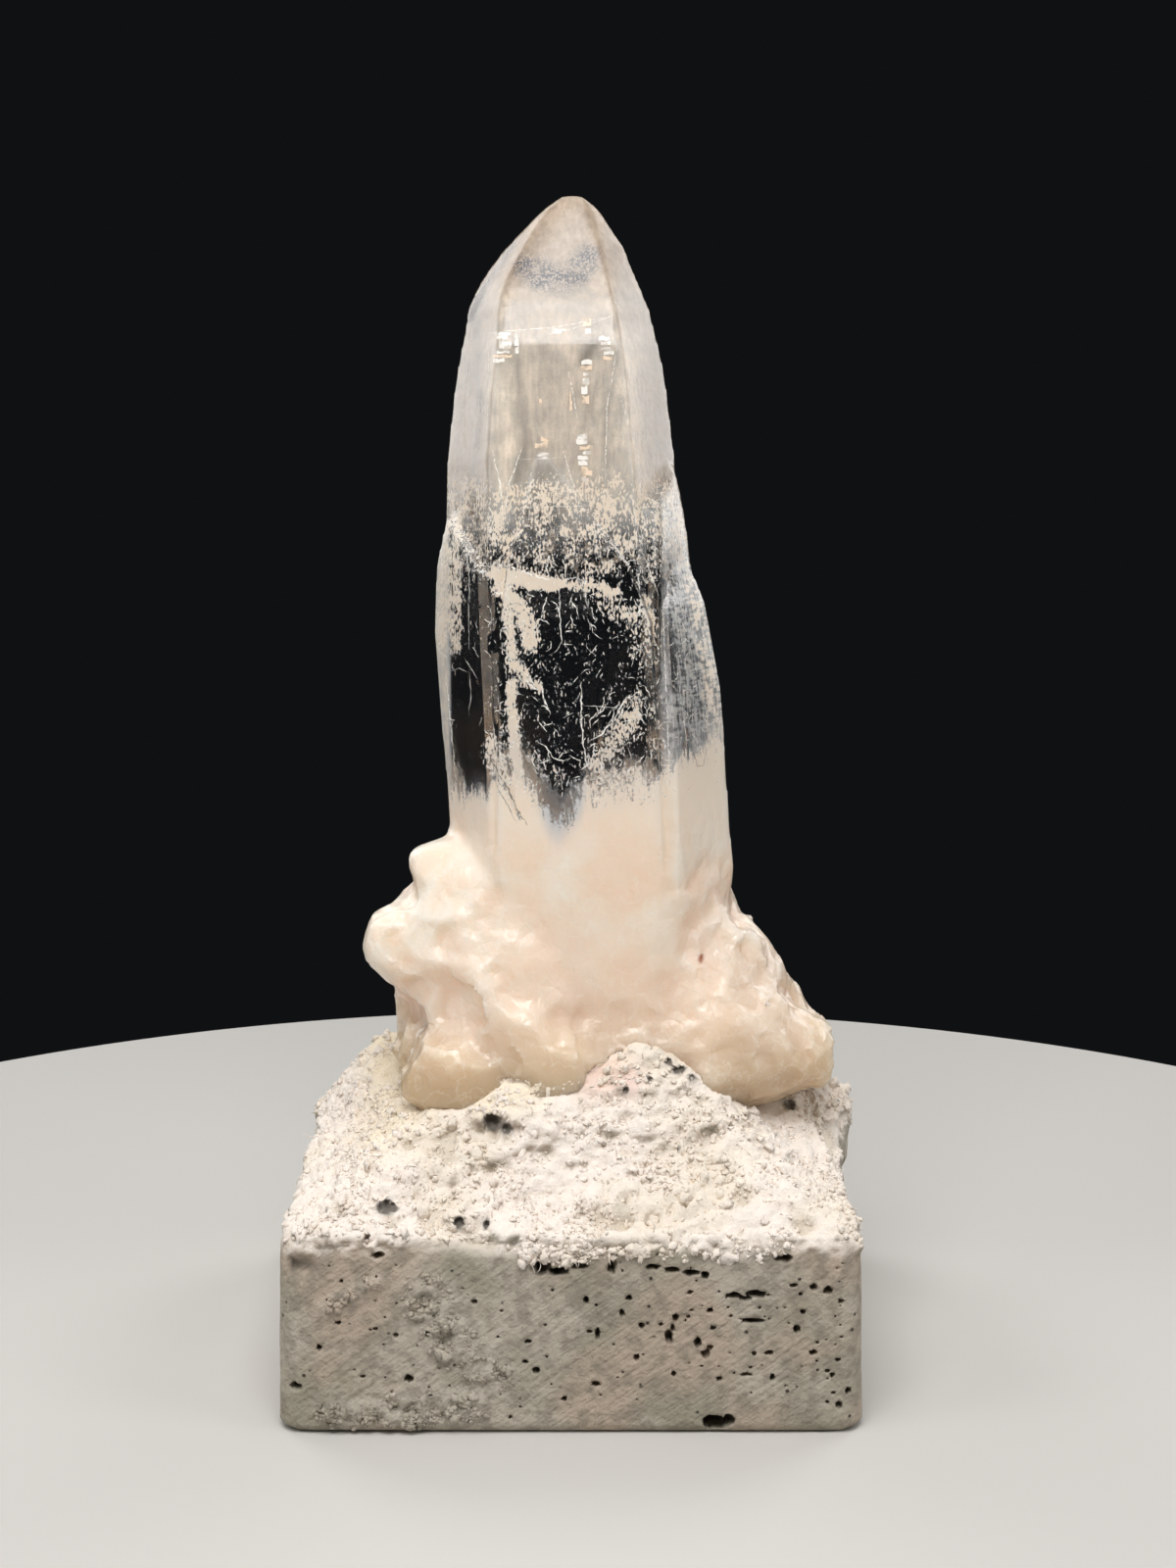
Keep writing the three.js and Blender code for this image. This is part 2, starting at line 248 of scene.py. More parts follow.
at = at + out * (in_root * lumps)[:, None]
place_points(mesh, at)
at, out = points_of(mesh)
lumps = 0.6 * chipped(at, out, near, 3.2, draw) + 0.06 * uneven(at, 1.4, seed=9)
at = at + out * (in_root * lumps)[:, None]
at = relax(mesh, at, 0.15 * in_root, 1)
place_points(mesh, at)
at, out = points_of(mesh)

x, y, z = at.T
facing = fade(-out[:, 1], 0.25, 0.6)
milk_top = np.interp(
    x,
    [-22, -13.4, -13.0, -9, -7.5, -5, -3.5, -2, 0, 1.6, 2.2, 6, 11, 13, 15, 18, 24],
    [96, 96, 100, 101, 100, 96, 93, 92, 94, 96, 97.5, 98, 98.5, 98.5, 100, 103, 105],
)
drift = z + 1.4 * uneven(at, 1.8, (1, 1, 3), 5) + 1.6 * uneven(at, 6, seed=6)
milk = 1 - fade(drift, milk_top - 7, milk_top + 6)
milk -= 0.5 * stroke(at, [(-11, 99.4), (-9.6, 96), (-8.2, 92.4)], 1.3) * facing

# Etch specks. Each path of (x, z) places, seen from the front, has its reach and its amount.
frayed = 0.5 * uneven(at, 1.5, (1, 1, 1.4), 15) + 0.5 * uneven(at, 3.4, (1, 1, 1.6), 16)
specks = (0.1 + 0.12 * facing) * band(z, 97, 131, 3)
specks *= 1 - 0.5 * band(x, -19, -13.4, 0.5) * (1 - fade(z, 112, 124))
for path, reach, amount in (
    ([(-12, 131.6), (-9.5, 131.2), (-6, 130.4), (-2, 130.2)], 2.6, 0.9),
    ([(-2, 130.2), (3.5, 130), (7, 129)], 2.0, 0.66),
    ([(-11.2, 129.5), (-8.5, 127), (-7, 124), (-6.6, 120.5)], 3.2, 0.76),
    ([(-10.4, 127.9), (-9.6, 121), (-9, 117)], 2.4, 0.66),
    ([(-8.6, 117.5), (-7.2, 115), (-5.4, 113.6)], 2.2, 0.64),
    ([(-9.6, 114), (-9.4, 108), (-8.8, 102), (-8, 97), (-7, 93)], 1.9, 0.84),
    ([(4.5, 127.5), (9, 126), (11.5, 123), (12.4, 119)], 6.0, 0.45),
    ([(11.8, 127), (12.6, 123)], 2.6, 0.66),
    ([(13, 119), (13.3, 110), (13.8, 100)], 2.2, 0.32),
    ([(3.5, 101), (6, 104), (9.5, 108), (10.5, 111)], 6.5, 0.5),
    ([(3, 97), (10, 99)], 5.0, 0.54),
    ([(-12.6, 104), (-11, 99), (-9, 94)], 4.4, 0.6),
    ([(-7, 103), (-3, 100), (0, 98)], 5.0, 0.4),
):
    specks = np.maximum(specks, amount * stroke(at, path, reach) * facing)
frosted = fade(-x, 17.2, 18.2) * fade(z + 4 * frayed, 114, 121) * (1 - fade(z, 140, 146))
specks = np.maximum(specks, 0.54 * frosted)
specks = np.maximum(specks, np.interp(z, [127, 131, 145, 151], [0.0, 0.36, 0.5, 0.0]))
specks = np.where(specks > 0.02, specks + 0.16 * frayed, 0)

# Haze: the frosted tip, the strips at both sides, and paths where it is thicker or thinner.
haze = fade(z, 133, 150) * (0.58 + 0.26 * fade(z, 172, 180) + 0.1 * uneven(at, 9, (1, 1, 3), 7))
haze -= 0.1 * fade(np.abs(x + 1), 11, 15) * fade(z, 142, 152)
brink = np.interp(z, [98, 116, 135], [25.5, 24, 19.5])
right = (0.36 + 0.34 * fade(x - brink, -3.4, -2.0)) * fade(x, 14.2, 15.2)
left = 0.68 * fade(-x, 19.6, 20.6)
haze = np.maximum(haze, np.maximum(right, left) * band(z, 92, 142, 4))
for path, reach, amount in (
    ([(-6.1, 187.7), (-9, 180), (-10.8, 172.2)], 1.7, 0.12),
    ([(3.8, 187.7), (6, 178), (7.7, 168.3)], 1.7, 0.12),
    ([(-10.8, 164), (-10.8, 158), (-10.4, 152)], 2.8, 0.12),
    ([(-10.2, 152), (-10.4, 146), (-10.8, 140)], 1.9, 0.2),
    ([(-4.6, 149), (-4.4, 142)], 5.4, -0.26),
    ([(-14.2, 160), (-14.4, 153), (-14.6, 146), (-15.6, 141)], 1.7, -0.3),
    ([(-16, 144.6), (-16.4, 142)], 1.7, -0.5),
    ([(3.7, 168.2), (1.9, 165.1)], 1.6, -0.3),
    ([(-3.5, 166), (-3, 156)], 4.0, -0.12),
    ([(8.5, 166), (9.5, 156), (11.5, 145)], 3.5, 0.14),
    ([(15.8, 122), (16.2, 117), (16.6, 113)], 1.5, -0.36),
    ([(17, 134.6), (18, 131.5)], 2.4, -0.3),
    ([(18.6, 106), (18.9, 98)], 1.2, -0.3),
    ([(-15.2, 172), (-14.9, 163.1), (-14.5, 157.9), (-15, 152.7), (-17.1, 142.2)], 1.2, -0.25),
    ([(-8.4, 168.2), (-8.4, 163.1), (-7.6, 157.9), (-7.1, 152.7), (-9.8, 143.5)], 1.2, -0.22),
    ([(7.5, 168.2), (5.7, 157.9), (5.4, 145.5)], 1.2, -0.16),
):
    haze = haze + amount * stroke(at, path, reach) * facing
haze -= 0.55 * stroke(at, [(-9.6, 183.6), (-13.2, 178.4), (-16.6, 172.4)], 1.4) * (1 - fade(y, 1, 3))
haze *= 1 - 0.6 * fade(out[:, 2], 0.3, 0.6) * fade(x, 10, 12) * band(z, 128, 146, 3)
pitted = stroke(at, [(-7, 180), (-4.6, 178.6), (-2, 178.2), (0.4, 178.8), (2.8, 181.2)], 3.6)
pitted = facing * np.clip(1.6 * pitted * (0.75 + 0.9 * uneven(at, 2.2, seed=29)), 0, 1)
paint(mesh, "milk", np.clip(milk, 0, 1))
paint(mesh, "specks", np.clip(specks, 0, 1))
paint(mesh, "haze", np.clip(haze, 0, 0.96))
paint(mesh, "pitted", pitted)
# Painted shade: the tip and the upper flanks are coloured a darker grey-brown, over the wear of the tip.
flanks = fade(np.abs(x + 1), 10, 15) * fade(z, 140, 152)
paint(mesh, "worn", 0.9 * np.maximum(fade(z, 166, 180), 0.55 * flanks))
paint(mesh, "warm", fade(z, 132, 150))
paint(mesh, "ladder", fade(x, 13, 16) * band(z, 104, 146, 5))
cool = band(z, milk_top - 3, milk_top + 6, 3) * (0.25 + 0.75 * band(x, -5, 2, 1))
paint(mesh, "cool", 0.8 * np.clip(np.maximum(cool, 0.8 * pitted), 0, 1))
paint(mesh, "root", 1 - fade(z, 80, 100))
peach = (1 - fade(z, 56, 84)) * (0.6 + 0.5 * uneven(at, 9, seed=27)) * (1 - 0.7 * fade(x, 24, 34))
# Painted shade: the foot and the lower right of the root are coloured darker towards the bottom.
tan = (1 - fade(z, 46, 64)) * (0.6 + 0.5 * fade(-x, -10, 5))
tan += 0.3 * fade(x, 18, 28) * (1 - fade(z, 66, 84))
paint(mesh, "tan", np.clip(tan, 0, 1))
paint(mesh, "peach", np.clip(peach + 0.35 * band(x, -8, 18, 8) * (1 - fade(z, 66, 84)), 0, 1))
paint(mesh, "rust", stroke(at, [(21.2, 68.2), (21.3, 68.7)], 0.7) * facing)
mesh.polygons.foreach_set("use_smooth", np.ones(len(mesh.polygons), dtype=bool))
mesh.set_sharp_from_angle(angle=math.radians(SHARP_DEGREES))
creases = np.empty(len(mesh.edges), dtype=bool)
mesh.edges.foreach_get("use_edge_sharp", creases)
ends = np.empty(len(mesh.edges) * 2, dtype=int)
mesh.edges.foreach_get("vertices", ends)
mesh.edges.foreach_set("use_edge_sharp", creases & (z[ends.reshape(-1, 2)].max(axis=1) < WORN_FROM))

# Rock crystal: glassy with an IOR of 1.544, so it bends what is behind it. Where it is cloudy the
# light scatters, and the milky vein quartz below glows cream and peach a few millimetres deep.
def add(tree, kind, inputs=(), out=0, **settings):
    """Adds a node, feeds its inputs by name or in order with values or sockets, and gives an output."""
    node = tree.nodes.new("ShaderNode" + kind)
    for name, value in settings.items():
        setattr(node, name, value)
    for key, value in inputs.items() if isinstance(inputs, dict) else enumerate(inputs):
        if isinstance(value, bpy.types.NodeSocket):
            tree.links.new(value, node.inputs[key])
        else:
            node.inputs[key].default_value = value
    return node.outputs[out]


crystal = bpy.data.materials.new("rock crystal")
crystal.use_nodes = True
tree = crystal.node_tree
glass = tree.nodes["Principled BSDF"]
drawn = {
    name: add(tree, "Attribute", out="Fac", attribute_name=name)
    for name in (
        "milk", "specks", "haze", "pitted", "worn", "warm", "ladder", "cool", "root", "tan", "peach", "rust"
    )
}
where = add(tree, "TexCoord", out="Object")
upright, level, steps, dashes = [
    add(tree, "Mapping", {"Vector": where, "Scale": squeeze})
    for squeeze in ((1, 1, 0.2), (0.1, 0.1, 1), (0.3, 0.3, 1), (1, 1, 0.5))
]
grain = {
    name: add(tree, "TexNoise", {"Vector": space, "Scale": 1 / (size * MM), "Detail": detail})
    for name, space, size, detail in (
        ("fine", where, 0.34, 3),
        ("feather", upright, 0.6, 3),
        ("dash", dashes, 0.32, 4),
        ("cluster", where, 1.8, 2),
        ("streak", upright, 0.7, 4),
        ("cloud", where, 3, 4),
        ("rung", steps, 0.6, 3),
        ("etch", where, 0.32, 2),
        ("patch", where, 12, 4),
        ("seam", where, 5, 5),
        ("growth", level, 0.8, 2),
        ("pit", where, 1.2, 3),
        ("flake", where, 0.8, 4),
    )
}

# The milk's feathered edge, the etch dots and the haze each hide what lies behind, and the
# strongest of them counts.
cloudy = drawn["milk"]
for part, share in ((grain["fine"], 0.68), (grain["feather"], 1.02)):
    cloudy = add(tree, "Math", (part, share, cloudy), operation="MULTIPLY_ADD")
cloudy = add(tree, "MapRange", (cloudy, 1.21, 1.51, 0, 0.97), interpolation_type="SMOOTHSTEP")
deep = add(tree, "Math", (drawn["milk"], drawn["milk"]), operation="MULTIPLY")
deep = add(tree, "Math", (deep, 0.5), operation="MULTIPLY")
dots = 0.0
for part, share in ((grain["dash"], 0.68), (grain["cluster"], 0.32), (drawn["specks"], 0.5)):
    dots = add(tree, "Math", (part, share, dots), operation="MULTIPLY_ADD")
dots = add(tree, "MapRange", (dots, 0.69, 0.78, 0, 0.86), interpolation_type="SMOOTHSTEP")
veil = drawn["haze"]
for bounds in (
    (grain["streak"], 0.3, 0.7, 0.84, 1.12),
    (grain["cloud"], 0.36, 0.64, 0.86, 1.1),
    (grain["fine"], 0.35, 0.65, 0.94, 1.06),
):
    share = add(tree, "MapRange", bounds, interpolation_type="SMOOTHSTEP")
    veil = add(tree, "Math", (veil, share), operation="MULTIPLY")
rubbed = add(tree, "Math", (drawn["pitted"], 0.8), operation="MULTIPLY")
veil = add(tree, "Math", (veil, rubbed), operation="MAXIMUM")
rungs = add(tree, "Math", (grain["rung"], grain["feather"]), operation="ADD")
rungs = add(tree, "MapRange", (rungs, 0.86, 1.12, -0.65, 0.45), interpolation_type="SMOOTHSTEP")
rungs = add(tree, "Math", (rungs, drawn["ladder"]), operation="MULTIPLY")
veil = add(tree, "Math", (veil, rungs, veil), operation="MULTIPLY_ADD")
opaque = cloudy
for layer in (deep, dots, veil):
    opaque = add(tree, "Math", (opaque, layer), operation="MAXIMUM")
opaque = add(tree, "Math", (opaque, 0.97), operation="MINIMUM")

patch = add(tree, "MapRange", (grain["patch"], 0.38, 0.64), interpolation_type="SMOOTHSTEP")
seam = add(tree, "Math", (grain["seam"], 0.5), operation="SUBTRACT")
seam = add(tree, "Math", (seam,), operation="ABSOLUTE")
seam = add(tree, "MapRange", (seam, 0, 0.02, 0.18, 0), interpolation_type="SMOOTHSTEP")
cream = linear("#fdecdd")
# The darker foot is painted shade; the patches, peach and white seams are the quartz's own colour.
for share, tint in (
    (patch, "#f8ddc7"), (drawn["peach"], "#f2dac4"), (drawn["tan"], "#cfb594"), (seam, "#fffaf2")
):
    cream = add(tree, "Mix", {0: share, 6: cream, 7: linear(tint)}, 2, data_type="RGBA")
milky = add(tree, "Mix", {0: drawn["root"], 6: linear("#f1e3d2"), 7: cream}, 2, data_type="RGBA")
milky = add(tree, "Mix", {0: drawn["rust"], 6: milky, 7: linear("#a2502a")}, 2, data_type="RGBA")
hazy = {0: drawn["warm"], 6: linear("#ffffff"), 7: linear("#f8eee3")}
hazy = add(tree, "Mix", hazy, 2, data_type="RGBA")
share = add(tree, "MapRange", (opaque, 0.2, 0.85), interpolation_type="SMOOTHSTEP")
colour = add(tree, "Mix", {0: share, 6: hazy, 7: milky}, 2, data_type="RGBA")
etched = add(tree, "MapRange", (grain["etch"], 0.44, 0.52, 0, 0.95), interpolation_type="SMOOTHSTEP")
etched = add(tree, "Math", (etched, drawn["pitted"]), operation="MULTIPLY")
# The darker grey-brown on the tip and flanks is painted shade; the blue-grey and the etch pits are the
# crystal's own.
for share, tint in ((drawn["cool"], "#c4c9cf"), (drawn["worn"], "#a59381"), (etched, "#3f434c")):
    colour = add(tree, "Mix", {0: share, 6: colour, 7: linear(tint)}, 2, data_type="RGBA")

relief = add(tree, "Bump", {"Height": grain["growth"], "Strength": 0.15, "Distance": 0.1 * MM})
pits = {"Height": grain["pit"], "Strength": 0.25, "Distance": 0.15 * MM, "Normal": relief}
relief = add(tree, "Bump", pits)
flakes = {"Vector": where, "Scale": 1 / (4.5 * MM)}
flakes = add(tree, "TexVoronoi", flakes, "Distance", feature="DISTANCE_TO_EDGE")
flakes = add(tree, "Math", (grain["flake"], 0.3, flakes), operation="MULTIPLY_ADD")
flakes = add(tree, "Math", (flakes, drawn["root"]), operation="MULTIPLY")
relief = add(tree, "Bump", {"Height": flakes, "Strength": 0.5, "Distance": 1.0 * MM, "Normal": relief})
clear = add(tree, "Math", (1.0, opaque), operation="SUBTRACT")
gloss = add(tree, "MapRange", (opaque, 0, 0.8, 0.03, 0.26), interpolation_type="SMOOTHSTEP")
for name, value in (
    ("Base Color", colour), ("Transmission Weight", clear), ("Roughness", gloss), ("Normal", relief)
):
    tree.links.new(value, glass.inputs[name])
glass.inputs["IOR"].default_value = 1.544
glass.inputs["Subsurface Weight"].default_value = 0.8
glass.inputs["Subsurface Radius"].default_value = (1.0, 0.92, 0.84)
glass.inputs["Subsurface Scale"].default_value = 10 * MM
mesh.materials.append(crystal)
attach(quartz, "root")
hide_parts("quartz_cluster")

# Healed cracks. Thin white films of bubbles where the crystal once cracked and grew together again:
# hairlines, feathers rising out of the milk and a few wider veils. The real ones are sealed in; these
# lie a hair proud of the faces, so that they show.
FILM_PROUD = 0.03
DASHES = 650
stone = BVHTree.FromPolygons(
    [v.co / MM for v in quartz.data.vertices], [tuple(p.vertices) for p in quartz.data.polygons]
)


def front_path(points, step=0.45):
    """Places on the crystal's front, step apart, along a path of (x, z) points seen from the front."""
    spots = [Vector(p) for p in points]
    run = []
    for start, end in zip(spots, spots[1:]):
        count = max(2, round((end - start).length / step))
        run += [start.lerp(end, i / count) for i in range(count)]
    hits = [stone.ray_cast(Vector((p.x, -60, p.y)), Vector((0, 1, 0)))[0] for p in run + spots[-1:]]
    return [hit for hit in hits if hit]


def ribbon(film, layer, path, width, shade, draw):
    """Adds a ragged strip to the mesh film, along places on the crystal's faces. It breaks at steps."""
    last = None
    for i, place in enumerate(path):
        spot, face, *_ = stone.find_nearest(place)
        across = face.cross(path[min(i + 1, len(path) - 1)] - path[max(i - 1, 0)]).normalized()
        taper = min(1, 0.3 + 3 * min(i, len(path) - 1 - i) / len(path)) * draw.uniform(0.4, 1.2)
        spot = spot + face * FILM_PROUD + across * width * 0.5 * draw.uniform(-1, 1)
        pair = [film.verts.new((spot + across * width * taper * half) * MM) for half in (-0.5, 0.5)]
        for corner in pair:
            corner[layer] = shade
        if last and (place - path[i - 1]).length < 1.5:
            film.faces.new((last[0], pair[0], pair[1], last[1]))
        last = pair


def wander(start, heading, length, bend, draw, step=0.3):
    """Places on the crystal from start onwards, along a heading that bends at random."""
    path = [start]
    turn = draw.normal(0, bend)
    for _ in range(max(2, round(length / step))):
        spot, face, *_ = stone.find_nearest(path[-1] + heading * step)
        path.append(spot)
        turn += draw.normal(0, 0.5 * bend)
        heading = heading + face.cross(heading) * turn
        heading = (heading - face * heading.dot(face)).normalized()
    return path


# Each crack is a path of (x, z) places seen from the front, its width and its whiteness. The darkest,
# of whiteness 0.2 and below, are painted reflection: crack faces seen edge-on mirroring the dark room.
CLEAR_CRACKS = (
    ([(-1.9, 130.2), (-1.8, 125.5), (-1.5, 121), (-2.2, 119.6), (-3.6, 118.9)], 0.26, 0.95),
    ([(-1.5, 120.6), (0.2, 120.5)], 0.2, 0.9),
    ([(1.6, 114.6), (1.6, 109.4), (2, 104.5), (2.5, 101)], 0.34, 0.95),
    ([(2, 110.8), (4.1, 110.6), (7.2, 110.3)], 0.2, 0.85),
    ([(2.6, 104.8), (4.8, 106), (6.7, 108.3), (8.6, 111.8), (11.3, 113.1)], 0.4, 0.95),
    ([(-16.6, 127.9), (-16.5, 124.4), (-16.5, 119.2)], 0.22, 0.9),
    ([(-17.3, 117.6), (-16.1, 116.1), (-15.1, 114.7)], 0.3, 0.9),
    ([(-16.5, 115.4), (-16.2, 111.5), (-16.7, 108.9)], 0.24, 0.9),
    ([(-19.8, 115), (-18.2, 115.9), (-16.8, 115.4)], 0.2, 0.6),
    ([(-17, 135.9), (-16.5, 131.7), (-16.3, 126.9)], 0.4, 0.9),
    ([(-4.8, 114.3), (-4.3, 111.5), (-3.3, 109.2)], 0.42, 1.0),
    ([(-7.4, 115), (-6, 113.6), (-5, 113.3)], 0.5, 1.0),
    ([(-12.4, 128.8), (-10.5, 128.6), (-9.6, 127.6)], 0.34, 1.0),
    ([(-11.9, 133.2), (-9.4, 132.8), (-6.7, 131.8), (-2.9, 130.5)], 0.4, 1.0),
    ([(-15.7, 132.8), (-12.5, 132.9), (-10.5, 135.2)], 0.4, 0.8),
    ([(-5.7, 105), (-4, 104.1), (-2.9, 102.3), (-1.2, 101.8), (-0.1, 102.3)], 0.26, 0.95),
    ([(-13.1, 102), (-11.6, 99.6), (-10.2, 97.4), (-8.8, 94), (-7, 91.4)], 0.36, 0.1),
    ([(-12.6, 99), (-11.4, 96.6), (-10.2, 94.6), (-8.8, 91.6)], 0.24, 0.15),
    ([(-10.9, 104.6), (-10.2, 101.6), (-9.6, 99)], 0.4, 0.08),
    ([(-12.4, 104), (-11.6, 101.8), (-10.9, 99.8)], 0.24, 0.12),
    ([(-12.6, 108), (-12.2, 105.4), (-11.6, 103)], 0.26, 0.95),
    ([(-13.1, 106.2), (-11.7, 103.4), (-10.6, 101.6)], 0.3, 0.95),
    ([(-20.7, 114), (-20, 106.9), (-19.6, 102.3), (-19.3, 97.4)], 0.5, 1.0),
    ([(-20.6, 107), (-19.2, 107)], 0.3, 1.0),
    ([(14.7, 126), (15.1, 118), (15.4, 110), (15.9, 98)], 0.22, 0.9),
    ([(16.9, 119), (17.6, 112), (18.6, 105), (19, 98)], 0.2, 0.85),
    ([(19.4, 104), (20.6, 99.8), (21.6, 99.6), (22.4, 103)], 0.26, 0.2),
    ([(10.6, 137), (12.6, 132), (14.2, 127.6)], 0.2, 0.9),
)
TIP_CRACKS = (
    ([(-13.3, 168.9), (-13, 161.8), (-13.5, 152.7)], 0.24, 0.95),
    ([(-13.6, 169.6), (-8, 170), (-2.1, 170.5), (5.7, 172.1)], 0.24, 1.0),
    ([(-2.2, 169.6), (2.4, 170.8), (7, 172.4)], 0.2, 0.95),
    ([(7.5, 168.2), (5.7, 157.9), (5.4, 145.5)], 0.24, 0.95),
    ([(-0.5, 163.7), (0.5, 159.2), (1.1, 155.3)], 0.2, 1.0),
    ([(-1.5, 152), (0.4, 145.5), (3.7, 142.2)], 0.24, 0.9),
    ([(-8.8, 149.7), (-0.2, 150.1)], 0.12, 0.8),
    ([(-9.1, 146), (1.1, 146.5)], 0.12, 0.8),
    ([(-8.1, 142.2), (3.1, 142.5)], 0.2, 1.0),
    ([(-12.7, 152), (-11.3, 146.1), (-10.8, 140.2)], 0.36, 1.0),
    ([(-7.6, 152), (-9.8, 146.1), (-10.7, 140.2)], 0.3, 1.0),
    ([(6, 165), (8.3, 157.9), (11, 148.8)], 0.16, 0.9),
    ([(8, 163.1), (9.6, 156.6), (10.4, 151.4)], 0.16, 0.9),
    ([(-16.5, 166.9), (-17.6, 157.9), (-17.3, 148.8)], 0.2, 0.9),
    ([(6.3, 175.3), (8.3, 172.7)], 0.24, 0.95),
)
film = bmesh.new()
film_white_and_painted_dark = film.verts.layers.float.new("film_white_and_painted_dark")
draw = np.random.default_rng(5)
for lines, slim in ((CLEAR_CRACKS, 0.75), (TIP_CRACKS, 0.6)):
    for path, width, shade in lines:
        ribbon(film, film_white_and_painted_dark, front_path(path), slim * width, shade, draw)
crowd = (0.06 + np.clip(specks, 0, 0.7)) * facing * band(at[:, 2], 95, 134, 3)
crowd *= 1 - 0.93 * band(at[:, 0], -20, -13.4, 0.5)
for i in draw.choice(len(at), DASHES, p=crowd / crowd.sum()):
    length = draw.uniform(0.4, 1.2) if draw.uniform(0, 1) < 0.7 else draw.uniform(1.2, 2.6)
    lean = Vector((0, 0, 1.2)) + Vector(draw.normal(0, 1, 3))
    if 2 < at[i, 0] < 12 and at[i, 2] < 113:
        lean, length = Vector((0.8, 0, 0.9)) + 0.6 * Vector(draw.normal(0, 1, 3)), length * 1.5
    face = Vector(out[i])
    heading = (lean - face * lean.dot(face)).normalized()
    path = wander(Vector(at[i]), heading, length, 0.08, draw)
    ribbon(film, film_white_and_painted_dark, path, draw.uniform(0.12, 0.24), draw.uniform(0.75, 1), draw)
cracks = bpy.data.objects.new("healed_cracks", bpy.data.meshes.new("healed_cracks"))
film.to_mesh(cracks.data)
film.free()
scene.collection.objects.link(cracks)

# Bubble film: thousands of tiny bubbles scatter the light, so it reads as matt white in the glass.
# Where the whiteness is low it is painted near-black, a painted reflection of the dark room.
bubbles_and_painted_dark = bpy.data.materials.new("bubble film and painted dark")
bubbles_and_painted_dark.use_nodes = True
tree = bubbles_and_painted_dark.node_tree
white = tree.nodes["Principled BSDF"]
where = add(tree, "TexCoord", out="Object")
share = add(tree, "Attribute", out="Fac", attribute_name="film_white_and_painted_dark")
colour = {0: share, 6: linear("#2c2a27"), 7: linear("#fffaf2")}
tree.links.new(add(tree, "Mix", colour, 2, data_type="RGBA"), white.inputs["Base Color"])
gaps = add(tree, "TexNoise", {"Vector": where, "Scale": 1 / (0.5 * MM), "Detail": 3})
gaps = add(tree, "MapRange", (gaps, 0.36, 0.56, 0.35, 0.9), interpolation_type="SMOOTHSTEP")
tree.links.new(gaps, white.inputs["Alpha"])
white.inputs["Roughness"].default_value = 0.6
cracks.data.materials.append(bubbles_and_painted_dark)
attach(cracks, "root")

# Glints. Short air-filled cracks stepped one above the other at the upper front faces, made as painted
# highlights: bars painted white and here and there golden, for the light they throw back at the viewer.
# Each block is its left, right, lowest and highest place, how many cracks it has and the golden share
# of them.
GLINT_PROUD = 0.12
GLINT_BLOCKS = (
    (-12.4, -9.3, 165.0, 169.2, 7, 0.2),
    (-8.9, -8.1, 166.4, 168.8, 3, 0.1),
    (0.8, 3.6, 146.4, 153.0, 9, 0.25),
    (1.2, 3.4, 162.9, 164.6, 3, 0.1),
    (4.3, 7.1, 165.4, 168.4, 5, 0.5),
    (-4.2, -0.8, 169.4, 169.9, 2, 0.6),
    (-5.8, -3.2, 151.6, 152.6, 2, 0.9),
    (-5.2, -4.5, 158.6, 159.4, 1, 1.0),
    (-0.3, 0.2, 157.4, 159.0, 2, 1.0),
    (1.6, 3.6, 169.4, 170.6, 2, 0.9),
    (1.4, 3.0, 158.5, 161.5, 3, 0.3),
)
film = bmesh.new()
golden = film.verts.layers.float.new("golden")
for left, right, low, high, count, gold in GLINT_BLOCKS:
    for z in np.linspace(low, high, count):
        start = left + draw.uniform(0, 0.4) * (right - left)
        end = right - draw.uniform(0, 0.4) * (right - left)
        tall = draw.uniform(0.6, 1.0) * (high - low) / (count - 1) if count > 1 else 0.6
        tint = draw.uniform(0, 1) < gold
        cuts = max(2, round((end - start) / 0.5))
        rows = []
        for i in range(cuts + 1):
            lower = z + 0.1 * draw.uniform(-1, 1)
            rows.append([])
            for up in (lower, lower + tall * draw.uniform(0.7, 1.2)):
                ahead = Vector((start + (end - start) * i / cuts, -60, up))
                spot = stone.ray_cast(ahead, Vector((0, 1, 0)))[0] - Vector((0, GLINT_PROUD, 0))
                rows[-1].append(film.verts.new(spot * MM))
                rows[-1][-1][golden] = tint
        for one, two in zip(rows, rows[1:]):
            film.faces.new((one[0], two[0], two[1], one[1]))
glints = bpy.data.objects.new("glints", bpy.data.meshes.new("glints"))
film.to_mesh(glints.data)
film.free()
scene.collection.objects.link(glints)

# Painted highlight: near-white and golden colours stand for the light a crack's air gap throws back,
# warm where it has gone through milk.
air = bpy.data.materials.new("painted glint film")
air.use_nodes = True
tree = air.node_tree
glint_surface = tree.nodes["Principled BSDF"]
where = add(tree, "TexCoord", out="Object")
share = add(tree, "Attribute", out="Fac", attribute_name="golden")
colour = {0: share, 6: linear("#fbf6ee"), 7: linear("#f4dcc2")}
tree.links.new(add(tree, "Mix", colour, 2, data_type="RGBA"), glint_surface.inputs["Base Color"])
for name, size, bounds in (
    ("Alpha", 1.6, (0.34, 0.54, 0.4, 0.95)), ("Roughness", 0.7, (0.35, 0.65, 0.1, 0.3))
):
    gaps = add(tree, "TexNoise", {"Vector": where, "Scale": 1 / (size * MM), "Detail": 2})
    gaps = add(tree, "MapRange", (gaps, *bounds), interpolation_type="SMOOTHSTEP")
    tree.links.new(gaps, glint_surface.inputs[name])
glints.data.materials.append(air)
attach(glints, "root")

# Plaster base. One casting of plaster of Paris around the root: mould-smooth sides with air holes
# and rasp marks, and a crumbly top that was heaped against the quartz and left as it set.
RIM = 30
HALF_WIDTH = 45.5
HALF_DEPTH = 44.5
CORNER = 3
